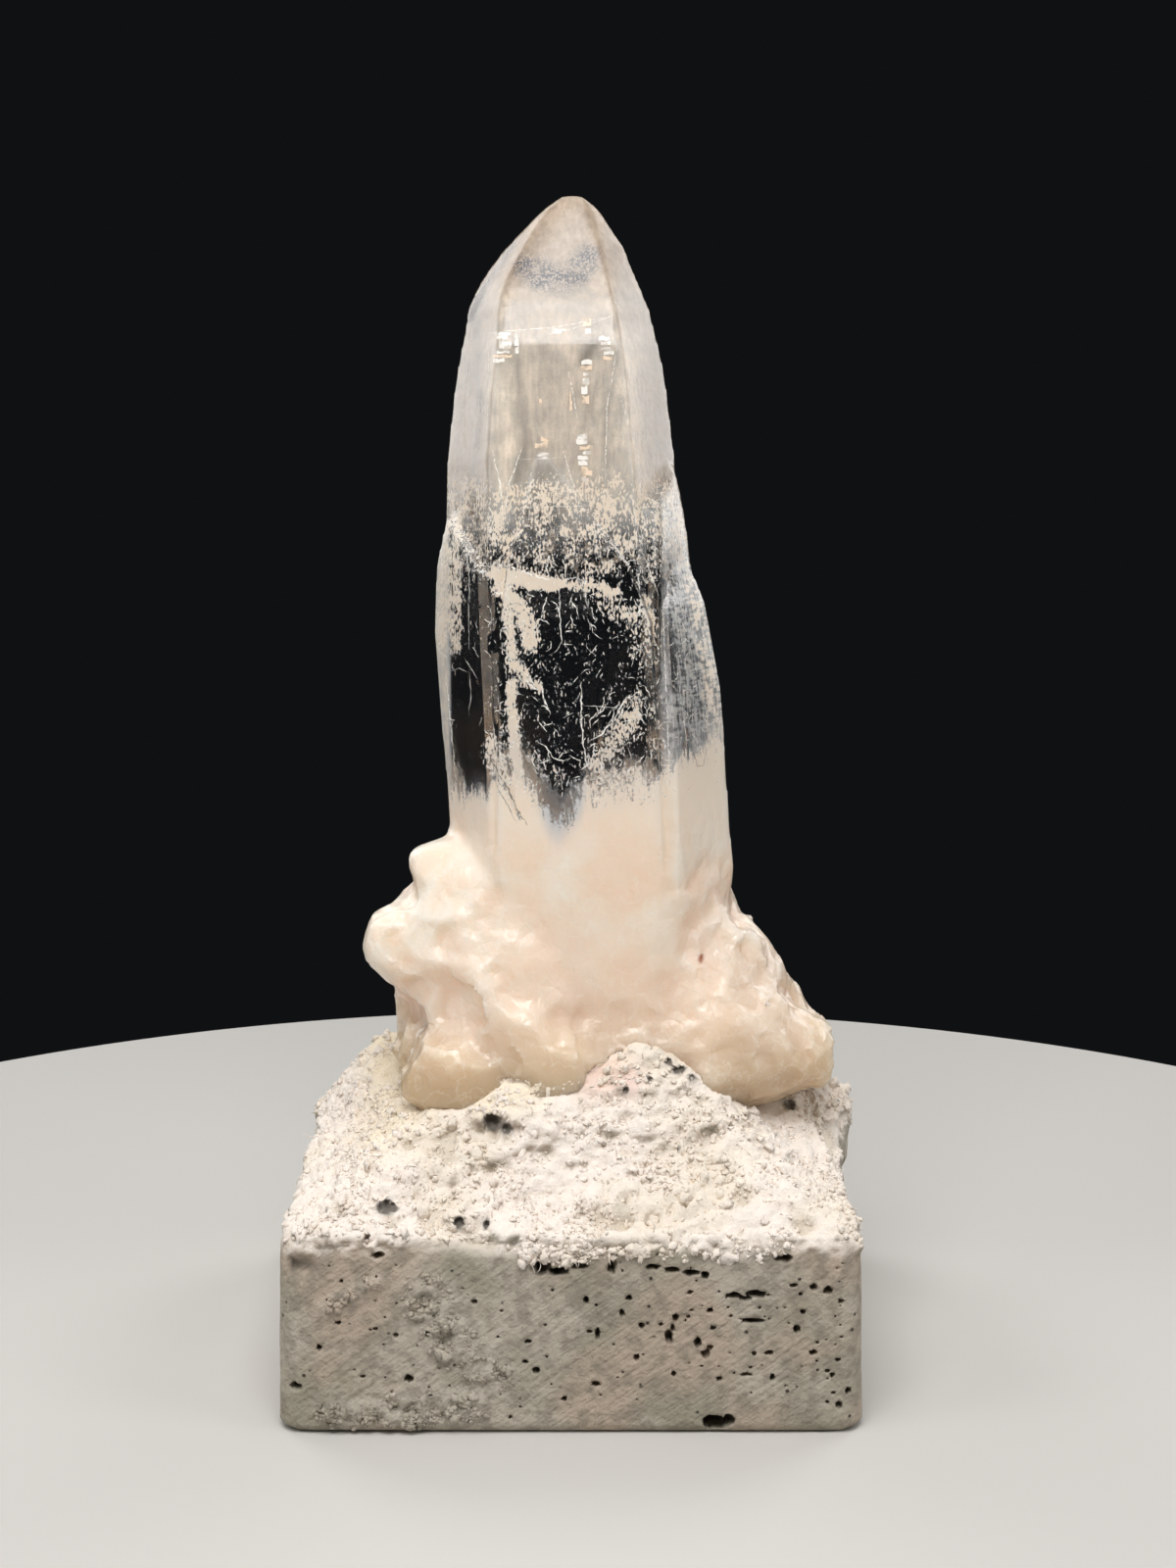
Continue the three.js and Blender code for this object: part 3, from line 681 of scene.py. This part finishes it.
# Air holes: x, z, half width and half height on the front, and x, z and radius on the top.
FRONT_HOLES = (
    (25.2, 22.3, 1.5, 0.6), (28.9, 22.7, 1.8, 0.7), (27.1, 21.9, 1.1, 0.5), (28.2, 18.3, 2.0, 0.55),
    (15.3, 15.6, 0.75, 1.3), (16.3, 18.8, 0.55, 0.7), (15.8, 17.2, 0.4, 0.8), (19.7, 14.8, 0.75, 0.8),
    (30.7, 13.2, 0.8, 0.55), (37.6, 13.2, 0.7, 0.55), (39.8, 23.1, 0.8, 0.9), (-5.4, 10.3, 0.7, 0.65),
    (-25.1, 9, 0.8, 0.75), (-42.8, 7.6, 1.0, 0.8), (6.4, 27, 0.75, 1.2), (32.9, 28.3, 1.6, 0.9),
    (2.4, 21.5, 0.55, 0.75), (27.3, 9.7, 1.1, 0.4), (31.3, 9.2, 0.45, 0.65), (3.9, 8.1, 0.8, 0.5),
    (4.2, 16.1, 0.5, 1.0), (34.5, 23.9, 0.75, 0.45), (43.2, 6.8, 0.55, 0.7), (-22.1, 16.4, 0.5, 0.5),
    (22.5, 1.8, 2.2, 1.5), (24.5, 2.0, 1.2, 1.1), (-4.6, 27, 1.9, 1.5), (-1.8, 26.2, 2.0, 0.8),
    (1.2, 27.3, 1.6, 0.8), (12.8, 27.0, 1.2, 0.6), (15.6, 26.5, 1.3, 0.6), (18.6, 26.0, 1.5, 0.6),
    (20.8, 25.6, 0.7, 0.9), (-31.3, 31, 0.8, 0.9), (-29.8, 28.8, 1.0, 0.7), (-6.6, 15.0, 0.7, 0.4),
    (9.0, 22.0, 0.6, 0.5), (11.0, 17.6, 0.5, 0.6), (-14.8, 21.4, 0.6, 0.4), (8.0, 19.6, 0.5, 0.7),
    (21.6, 20.0, 0.6, 0.5), (36.0, 19.8, 0.5, 0.45), (41.5, 12.0, 0.5, 0.4), (-36.0, 18.0, 0.5, 0.4),
    (-39.0, 14.0, 0.5, 0.6), (16.0, 9.8, 0.5, 0.5), (-1.0, 5.6, 0.5, 0.5), (10.2, 12.4, 0.5, 0.6),
)
TOP_HOLES = (
    (-28.5, 35.5, 1.1), (-27.2, 35.4, 0.7), (39, 45, 1.0), (-12.9, 44.2, 1.3), (-11.2, 44.0, 0.9),
    (17, 56, 0.5), (19.3, 54.5, 0.55), (21.2, 53.2, 0.6), (15.6, 54.2, 0.45), (22.6, 54.4, 0.45),
    (12.4, 51.5, 0.5), (9.2, 50.2, 0.5), (17.8, 52.6, 0.5), (-16.5, 33.2, 0.8), (-13.8, 33.0, 0.6),
)
HOLES_PER_WALL = 110
base = remeshed("plaster_base", "plaster", mode="VOXEL", voxel_size=0.61 * MM)
mesh = base.data
at, out = points_of(mesh)
at[:, 2] = np.where(at[:, 2] < 0.2, 0, at[:, 2])
place_points(mesh, at)
shell = bmesh.new()
shell.from_mesh(mesh)
under = [f for f in shell.faces if all(v.co.z < 0.01 * MM for v in f.verts)]
bmesh.ops.delete(shell, geom=under, context="FACES")
bmesh.ops.delete(shell, geom=[v for v in shell.verts if not v.link_faces], context="VERTS")
bmesh.ops.holes_fill(shell, edges=[e for e in shell.edges if e.is_boundary], sides=0)
shell.to_mesh(mesh)
shell.free()
at, out = points_of(mesh)
x, y, z = at.T
touch = np.full(len(at), 9.0)
pulled = at.copy()
for i, point in enumerate(at.tolist()):
    spot, _, _, distance = stone.find_nearest(point, 3.0)
    if spot is not None:
        touch[i] = distance
        pulled[i] = spot
bedded = 1 - fade(touch, 0.9, 1.8)


def top_of(places, normals):
    """1 on the rough top, 0 on the cast sides."""
    z = places[:, 2]
    spill = z + 1.6 * uneven(places, 6, seed=37) + 0.9 * uneven(places, 2, seed=38)
    return fade(spill, RIM - 2.5, RIM + 1.5) * fade(normals[:, 2] + 0.25 * fade(spill, 31, 36), -0.1, 0.35)


def lumpy(places, size, seed):
    """Rounded lumps with creases between them, from about -1 to 1."""
    return 1 - 3 * np.abs(uneven(places, size, seed=seed))


rough = top_of(at, out)
heaped = 0.8 * uneven(at, 7, seed=4) + 0.5 * lumpy(at, 4.2, 41) + 0.42 * lumpy(at, 2.1, 42)
heaped += 0.42 * lumpy(at, 1.2, 43)
strayed = at + 1.6 * np.array([uneven(at, 3.5, seed=s) for s in (45, 46, 47)]).T
for path, depth in (
    ([(-24, 37.7), (-16, 38.5), (-10, 40), (-3.6, 42.6)], 0.8),
    ([(-21.8, 33.4), (-17, 32.6), (-12.6, 32.4)], 0.9),
    ([(-16, 43.6), (-9, 44.4)], 1.0),
    ([(2, 33), (12, 34), (20, 33.6)], 0.9),
    ([(6, 43), (16, 42.6), (24, 44)], 0.9),
):
    raised = [(px, pz + 1.1) for px, pz in path]
    sunk = [(px, pz - 1.0) for px, pz in path]
    heaped += depth * (stroke(strayed, raised, 1.9) - stroke(strayed, sunk, 1.9)) * (y < -16)
hollows = fade(uneven(at, 5.5, seed=21), 0.34, 0.6)
front = fade(-out[:, 1], 0.6, 0.9) * (1 - rough)
splash = np.maximum(
    stroke(at, [(-23, 22.8), (-17.9, 15.6), (-12.6, 10)], 6),
    stroke(at, [(-37, 3.5), (-26, 3.6), (-15.7, 5.2)], 4.5),
)
splash = front * np.maximum(splash, 0.8 * stroke(at, [(-38, 20), (-30, 25)], 2.4))
wavy = 0.18 * uneven(at, 13, seed=31) + 0.07 * uneven(at, 2.2, seed=33)
wavy += splash * (0.15 + 0.7 * np.maximum(lumpy(at, 2.4, 51), -0.6) + 0.4 * lumpy(at, 1.3, 52))
wavy -= 1.3 * front * stroke(at, [(-43, 27.2), (-41, 27)], 2.8)
lift = rough * (heaped - 1.2 * hollows) + (1 - rough) * wavy
lift *= fade(z, 0.2, 1.5) * (1 - bedded)
at = at + out * lift[:, None]
at = at + (pulled - at) * bedded[:, None]
place_points(mesh, at)
# Painted shade: the hollows and low places of the rough top are coloured darker.
paint(mesh, "hollow_shade", np.clip(rough * (0.8 * hollows + 0.6 * fade(-heaped, 0.2, 1.4)), 0, 1))
paint(mesh, "splash", 0.5 * splash)

draw = np.random.default_rng(3)
bores = [(Vector((x, -HALF_DEPTH, z)), (w, 1.4 + w, h), max(w, h)) for x, z, w, h in FRONT_HOLES]
wells = []
for px, pz, radius in TOP_HOLES:
    away = np.linalg.norm(at[:, [0, 2]] - (px, pz), axis=1)
    near = np.flatnonzero(away < away.min() + 0.8)
    middle = at[near[np.argmin(at[near, 1])]]
    wells.append((middle, radius))
    bores.append((Vector(middle), (radius, 1.4 * radius, radius), 1.4 * radius))
for wall in range(4):
    for _ in range(HOLES_PER_WALL):
        along = 42 - 84 * draw.uniform(0, 1) ** (1.5 if wall == 0 else 1)
        up = 2 + 26 * draw.uniform(0, 1) ** 0.8
        size = 0.2 + 0.7 * draw.uniform(0, 1) ** (5 if wall == 0 else 3)
        flat = size * draw.uniform(0.6, 1.1)
        if wall % 2 == 0:
            bores.append((Vector((along, HALF_DEPTH * (wall - 1), up)), (size, 1 + size, flat), size))
        else:
            bores.append((Vector((HALF_WIDTH * (wall - 2), along, up)), (1 + size, size, flat), size))
while bores:
    holes = bmesh.new()
    cut_now, waiting = [], []
    for middle, radii, reach in bores:
        if any((middle - other).length < 1.5 * (reach + other_reach) for other, other_reach in cut_now):
            waiting.append((middle, radii, reach))
            continue
        cut_now.append((middle, reach))
        for corner in bmesh.ops.create_icosphere(holes, subdivisions=2, radius=1)["verts"]:
            swell = 1 + 0.55 * noise.noise(corner.co * 1.5 + middle)
            corner.co = (middle + swell * Vector([r * c for r, c in zip(radii, corner.co)])) * MM
    bores = waiting
    cutter = bpy.data.objects.new("air_holes", bpy.data.meshes.new("air_holes"))
    holes.to_mesh(cutter.data)
    holes.free()
    scene.collection.objects.link(cutter)
    cut = base.modifiers.new("air holes", "BOOLEAN")
    cut.object = cutter
    cut.solver = "MANIFOLD"
    made(base)
    bpy.data.objects.remove(cutter)
mesh = base.data
at, out = points_of(mesh)
x, y, z = at.T
rough = top_of(at, out)
past = np.array([np.abs(x) - HALF_WIDTH + CORNER, np.abs(y) - HALF_DEPTH + CORNER])
inset = CORNER - np.minimum(np.max(past, axis=0), 0) - np.linalg.norm(np.maximum(past, 0), axis=0)
# Painted shade: the insides of the air holes on the sides, and the wells on the top, are coloured dark.
hole_shade = fade(inset, 0.9, 1.9) * (1 - fade(z, RIM - 2, RIM - 0.5)) * (z > 0.5)
for middle, radius in wells:
    away = np.linalg.norm((at - middle) / (radius, 1.4 * radius, radius), axis=1)
    hole_shade = np.maximum(hole_shade, 0.85 * (1 - fade(away, 1.1, 1.4)))
paint(mesh, "bore_shade", hole_shade)
paint(mesh, "rough", rough)
yellow = np.maximum(stroke(at, [(-29, 46.5), (-33, 45)], 9), 0.7 * stroke(at, [(-14, 47), (-6, 50)], 5))
paint(mesh, "yellow", 0.5 * rough * yellow)
paint(mesh, "pink", 0.6 * rough * stroke(at, [(2.7, 50.8), (9, 50.8)], 5) * (y < 0))
mesh.polygons.foreach_set("use_smooth", np.ones(len(mesh.polygons), dtype=bool))

# Plaster of Paris: dead matt chalky white with a warm cast; the sides painted a darker grey-beige as
# shade, and stained greenish and brown by handling, with fine sandy grain, pinholes and the diagonal
# lines of a rasp.
gypsum = bpy.data.materials.new("plaster of Paris")
gypsum.use_nodes = True
tree = gypsum.node_tree
chalk = tree.nodes["Principled BSDF"]
drawn = {
    name: add(tree, "Attribute", out="Fac", attribute_name=name)
    for name in ("rough", "splash", "yellow", "pink", "hollow_shade", "bore_shade")
}
where = add(tree, "TexCoord", out="Object")
slanted = {"Vector": where, "Rotation": (0, math.radians(-36), 0), "Scale": (14, 1, 1)}
slanted = add(tree, "Mapping", slanted, vector_type="TEXTURE")
grain = {
    name: add(tree, "TexNoise", {"Vector": space, "Scale": 1 / (size * MM), "Detail": detail})
    for name, space, size, detail in (
        ("stain", where, 16, 4),
        ("tone", where, 23, 3),
        ("grime", where, 2.4, 5),
        ("some", where, 5, 1),
        ("rasp", slanted, 0.9, 3),
        ("sand", where, 0.9, 5),
    )
}
stain = add(tree, "MapRange", (grain["stain"], 0.42, 0.62), interpolation_type="SMOOTHSTEP")
tone = add(tree, "MapRange", (grain["tone"], 0.45, 0.6), interpolation_type="SMOOTHSTEP")
grime = add(tree, "MapRange", (grain["grime"], 0.42, 0.66, 0, 0.65), interpolation_type="SMOOTHSTEP")
some = add(tree, "MapRange", (grain["some"], 0.5, 0.6), interpolation_type="SMOOTHSTEP")
smooth_side = add(tree, "Math", (1.0, drawn["rough"]), operation="SUBTRACT")
# Pinholes: small dots painted dark as shade in tiny holes, and dented by the bump below.
pinhole = add(tree, "TexVoronoi", {"Vector": where, "Scale": 1 / (2.6 * MM)}, "Distance")
pinhole = add(tree, "MapRange", (pinhole, 0.06, 0.15, 1, 0), interpolation_type="SMOOTHSTEP")
for share in (some, smooth_side):
    pinhole = add(tree, "Math", (pinhole, share), operation="MULTIPLY")
holes = add(tree, "Math", (pinhole, drawn["bore_shade"]), operation="MAXIMUM")
# Painted shade: the cast sides get a darker grey-beige base than the top; the stains, tone and grime are its
# own marks.
side = linear("#b5ac9d")
for share, tint in ((stain, "#999382"), (tone, "#b2a291"), (drawn["splash"], "#c9c1b4"), (grime, "#857d6f")):
    side = add(tree, "Mix", {0: share, 6: side, 7: linear(tint)}, 2, data_type="RGBA")
top = linear("#f1e6db")
for share, tint in ((stain, "#ebdfcf"), (drawn["yellow"], "#efdcae"), (drawn["pink"], "#eac6b8")):
    top = add(tree, "Mix", {0: share, 6: top, 7: linear(tint)}, 2, data_type="RGBA")
colour = add(tree, "Mix", {0: drawn["rough"], 6: side, 7: top}, 2, data_type="RGBA")
# Painted shade: the top's hollows are coloured darker, and the holes and pinholes nearly black.
for share, tint in ((drawn["hollow_shade"], "#cfc4b3"), (holes, "#3d372e")):
    colour = add(tree, "Mix", {0: share, 6: colour, 7: linear(tint)}, 2, data_type="RGBA")
rasp = add(tree, "Math", (grain["rasp"], smooth_side), operation="MULTIPLY")
sandy = add(tree, "Bump", {"Height": grain["sand"], "Strength": 0.9, "Distance": 0.5 * MM})
sandy = add(tree, "Bump", {"Height": rasp, "Strength": 0.9, "Distance": 0.4 * MM, "Normal": sandy})
pricked = {"Height": pinhole, "Strength": 0.8, "Distance": 0.4 * MM, "Normal": sandy}
sandy = add(tree, "Bump", pricked, invert=True)
tree.links.new(colour, chalk.inputs["Base Color"])
tree.links.new(sandy, chalk.inputs["Normal"])
chalk.inputs["Roughness"].default_value = 0.92
mesh.materials.append(gypsum)
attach(base, "root")
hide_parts("plaster_base")

# Crumbs. Bits of plaster that fell on the wet top and set there, thickest on the heaps. Each is a
# small uneven lump sunk a third of its height into the casting.
faces = len(mesh.polygons)
centres = np.empty(faces * 3)
normals = np.empty(faces * 3)
areas = np.empty(faces)
mesh.polygons.foreach_get("center", centres)
mesh.polygons.foreach_get("normal", normals)
mesh.polygons.foreach_get("area", areas)
centres = centres.reshape(-1, 3) / MM
normals = normals.reshape(-1, 3)
first = np.empty(faces, dtype=int)
mesh.polygons.foreach_get("loop_start", first)
corners = np.empty(len(mesh.loops), dtype=int)
mesh.loops.foreach_get("vertex_index", corners)
lead = corners[first]
free = np.array([stone.find_nearest(spot, 1.4)[0] is None for spot in centres.tolist()])
open_top = areas * fade(rough[lead], 0.5, 0.9) * free * (hole_shade[lead] < 0.1)
on_front = areas * (normals[:, 1] < -0.6) * (centres[:, 2] < RIM - 1)
crust = stroke(centres, [(-23, 22.8), (-20.5, 18), (-17.9, 15.6), (-15, 13), (-12.6, 10)], 4.5)
crust = np.maximum(crust, stroke(centres, [(-37, 3.5), (-26, 3.6), (-15.7, 5.2)], 3.6))
crust = np.maximum(crust, 0.7 * stroke(centres, [(-38, 20), (-30, 25)], 1.4))
crust = on_front * crust * fade(uneven(centres, 2.0, seed=81), -0.1, 0.3)
lip = areas * (centres[:, 1] < -40) * fade(centres[:, 2], RIM - 4, RIM - 2) * np.maximum(
    stroke(centres, [(-6.5, 29.4), (-3, 28.6), (0, 28.8), (2.7, 29.6)], 2.6),
    0.25 * stroke(centres, [(3, 29.5), (20, 29), (34, 29.6)], 1.6),
)


def joined(name, shapes, faces, roughness):
    """One piece of many shapes with the same faces: their points, and how much each looks like the top."""
    count = shapes.shape[1]
    mesh = bpy.data.meshes.new(name)
    every = (np.array(faces)[None] + count * np.arange(len(shapes))[:, None, None]).reshape(-1, len(faces[0]))
    mesh.from_pydata((shapes.reshape(-1, 3) * MM).tolist(), [], every.tolist())
    mesh.update()
    piece = bpy.data.objects.new(name, mesh)
    scene.collection.objects.link(piece)
    mesh.polygons.foreach_set("use_smooth", np.ones(len(mesh.polygons), dtype=bool))
    paint(mesh, "rough", np.repeat(roughness, count))
    mesh.materials.append(gypsum)
    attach(piece, "root")


draw = np.random.default_rng(17)
crowded = open_top * fade(uneven(centres, 6, seed=61), -0.6, 0.5)


def crumbs(name, subdivisions, least, most, *crowds):
    """Uneven flat lumps of those sizes, in millimetres. Each crowd is where they lie and how many."""
    ball = bmesh.new()
    bmesh.ops.create_icosphere(ball, subdivisions=subdivisions, radius=1)
    points = np.array([v.co for v in ball.verts])
    ball_faces = [[v.index for v in f.verts] for f in ball.faces]
    ball.free()
    picked = np.concatenate([draw.choice(faces, count, p=where / where.sum()) for where, count in crowds])
    sizes = least + (most - least) * draw.uniform(0, 1, len(picked)) ** 2.5
    shapes = points[None] * draw.uniform(0.6, 1.4, (len(picked), 1, 3))
    shapes = shapes * (1 + 0.3 * draw.normal(0, 1, (len(picked), len(points), 1)))
    up = normals[picked][:, None]
    shapes = shapes - 0.45 * np.sum(shapes * up, axis=2, keepdims=True) * up
    spots = centres[picked] + draw.uniform(-0.45, 0.45, (len(picked), 3)) * (1 - np.abs(normals[picked]))
    shapes = shapes * sizes[:, None, None] + spots[:, None] + 0.12 * sizes[:, None, None] * up
    shapes[..., 2] = np.maximum(shapes[..., 2], 0.05)
    joined(name, shapes, ball_faces, np.where(centres[picked, 2] < RIM - 4, 0.12, 1.0))


crumbs("plaster_grit", 1, 0.16, 0.5, (crowded, 7600), (crust, 1500), (lip, 260))
crumbs("plaster_crumbs", 2, 0.4, 0.95, (crowded, 900), (lip, 120), (crust, 60))

# Shreds. Curled whiskers of plaster pulled up as the wet heap was worked, standing on its crests and
# hanging over its rim. Each is a thin tapering strand rooted in the casting.
SHREDS = 800
RINGS = 7
crest = open_top * fade(uneven(centres, 5, seed=71), -0.2, 0.5)
back_crest = open_top * (1 - fade(np.linalg.norm(centres - (-33, 10, 50), axis=1), 2, 6))
crest = crest / crest.sum() + 0.12 * lip / lip.sum() + 0.04 * back_crest / back_crest.sum()
picked = draw.choice(faces, SHREDS, p=crest / crest.sum())
lengths = 0.7 + 2.4 * draw.uniform(0, 1, SHREDS) ** 2.5
heading = normals[picked] + draw.normal(0, 0.55, (SHREDS, 3))
heading /= np.linalg.norm(heading, axis=1)[:, None]
curl = draw.normal(0, 0.9, (SHREDS, 3))
thick = draw.uniform(0.1, 0.24, SHREDS)
strands = np.empty((SHREDS, RINGS * 3 + 1, 3))
spot = centres[picked] - 0.3 * heading
turn = np.array([[math.cos(a), math.sin(a)] for a in (0, math.tau / 3, 2 * math.tau / 3)])
for ring in range(RINGS):
    aside = np.cross(heading, curl)
    aside /= np.linalg.norm(aside, axis=1)[:, None]
    over = np.cross(heading, aside)
    wide = thick * (1 - 0.75 * ring / RINGS) * draw.uniform(0.7, 1.3, SHREDS)
    for k, (c, s) in enumerate(turn):
        strands[:, 3 * ring + k] = spot + wide[:, None] * (c * aside + 0.6 * s * over)
    spot = spot + heading * (lengths / RINGS)[:, None]
    heading = heading + curl * 0.22 + draw.normal(0, 0.12, (SHREDS, 3))
    heading /= np.linalg.norm(heading, axis=1)[:, None]
strands[:, -1] = spot
strand_faces = [[0, 2, 1]]
for ring in range(RINGS - 1):
    for k in range(3):
        a, b = 3 * ring + k, 3 * ring + (k + 1) % 3
        strand_faces += [[a, b, b + 3], [a, b + 3, a + 3]]
last = 3 * (RINGS - 1)
strand_faces += [[last + k, last + (k + 1) % 3, 3 * RINGS] for k in range(3)]
joined("plaster_shreds", strands, strand_faces, np.ones(SHREDS))
